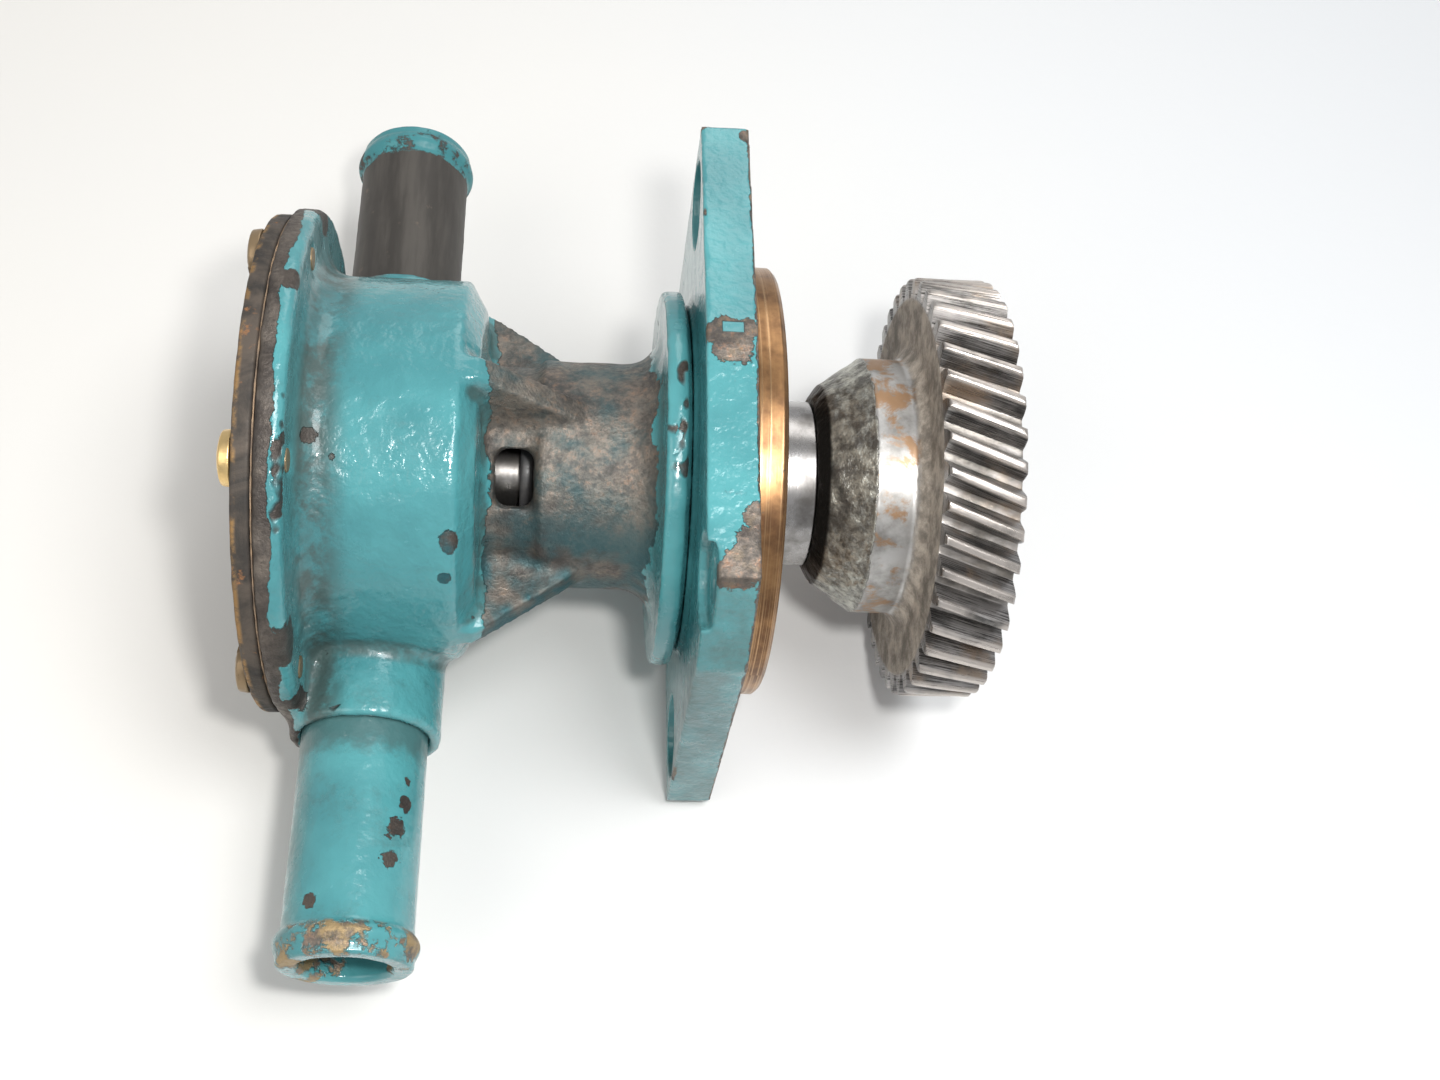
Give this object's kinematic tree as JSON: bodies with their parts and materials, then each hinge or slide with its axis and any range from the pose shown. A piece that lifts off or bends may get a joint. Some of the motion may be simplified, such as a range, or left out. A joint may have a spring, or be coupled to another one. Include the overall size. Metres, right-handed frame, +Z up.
{
  "type": "raw water pump",
  "caption": "Gear-driven flexible-impeller water pump with opposed hose tubes, a round end cover and a square mounting flange.",
  "frame": {"origin": "on the shaft axis, in the mounting face of the flange", "axes": "+X along the shaft towards the drive gear, +Y towards the outlet tube, +Z up as the pump lies on its side"},
  "size_m": [0.167, 0.221, 0.116],
  "materials": {
    "painted_casting": "glossy teal paint over cast bronze, chipped",
    "cover_bronze": "dark patina",
    "gasket_paper": "matte",
    "screw_brass": "worn",
    "painted_tube": "glossy teal paint, chipped",
    "bare_tube": "dark oxidised bronze with a painted bead",
    "wear_brass": "satin",
    "steel": "turned steel",
    "bearing_steel": "polished",
    "cage_steel": "pressed steel",
    "seal_rubber": "matte",
    "impeller_rubber": "satin",
    "gear_steel": "dark oily steel, bright worn teeth",
    "seal_case_steel": "pressed steel",
    "copper": "dull copper"
  },
  "bodies": {
    "root": {"pump_housing": "painted_casting", "end_cover": "cover_bronze", "cover_gasket": "gasket_paper", "cover_screws": "screw_brass", "inlet_tube": "painted_tube", "outlet_tube": "bare_tube", "wear_plate": "wear_brass", "cam": "wear_brass", "cam_screw": "screw_brass", "cam_screw_washer": "copper", "water_seal_case": "seal_case_steel", "water_seal_lip": "seal_rubber", "water_seal_spring": "steel", "oil_seal_case": "seal_case_steel", "oil_seal_lip": "seal_rubber", "oil_seal_spring": "steel", "inner_bearing_outer_ring": "bearing_steel", "outer_bearing_outer_ring": "bearing_steel", "bearing_circlip": "steel"},
    "rotor": {"drive_gear": "gear_steel", "pump_shaft": "steel", "impeller_insert": "wear_brass", "impeller_rubber": "impeller_rubber", "impeller_key": "steel", "slinger_ring": "seal_rubber", "inner_bearing_inner_ring": "bearing_steel", "outer_bearing_inner_ring": "bearing_steel", "gear_spacer": "steel", "gear_key": "steel", "gear_washer": "steel", "gear_nut": "steel"},
    "inner_ball_set": {"inner_bearing_balls": "bearing_steel", "inner_bearing_cage": "cage_steel"},
    "outer_ball_set": {"outer_bearing_balls": "bearing_steel", "outer_bearing_cage": "cage_steel"}
  },
  "joints": [
    {"name": "shaft_spin", "type": "hinge", "parent": "root", "child": "rotor", "pos_m": [0, 0, 0], "axis": [1, 0, 0], "continuous": true, "deforming": ["impeller_rubber"]},
    {"name": "inner_cage_spin", "type": "hinge", "parent": "root", "child": "inner_ball_set", "pos_m": [-0.031, 0, 0], "axis": [1, 0, 0], "continuous": true},
    {"name": "outer_cage_spin", "type": "hinge", "parent": "root", "child": "outer_ball_set", "pos_m": [-0.009, 0, 0], "axis": [1, 0, 0], "continuous": true}
  ],
  "couplings": [
    {"joint": "inner_cage_spin", "follows": "shaft_spin", "ratio": 0.4},
    {"joint": "outer_cage_spin", "follows": "shaft_spin", "ratio": 0.3978}
  ]
}
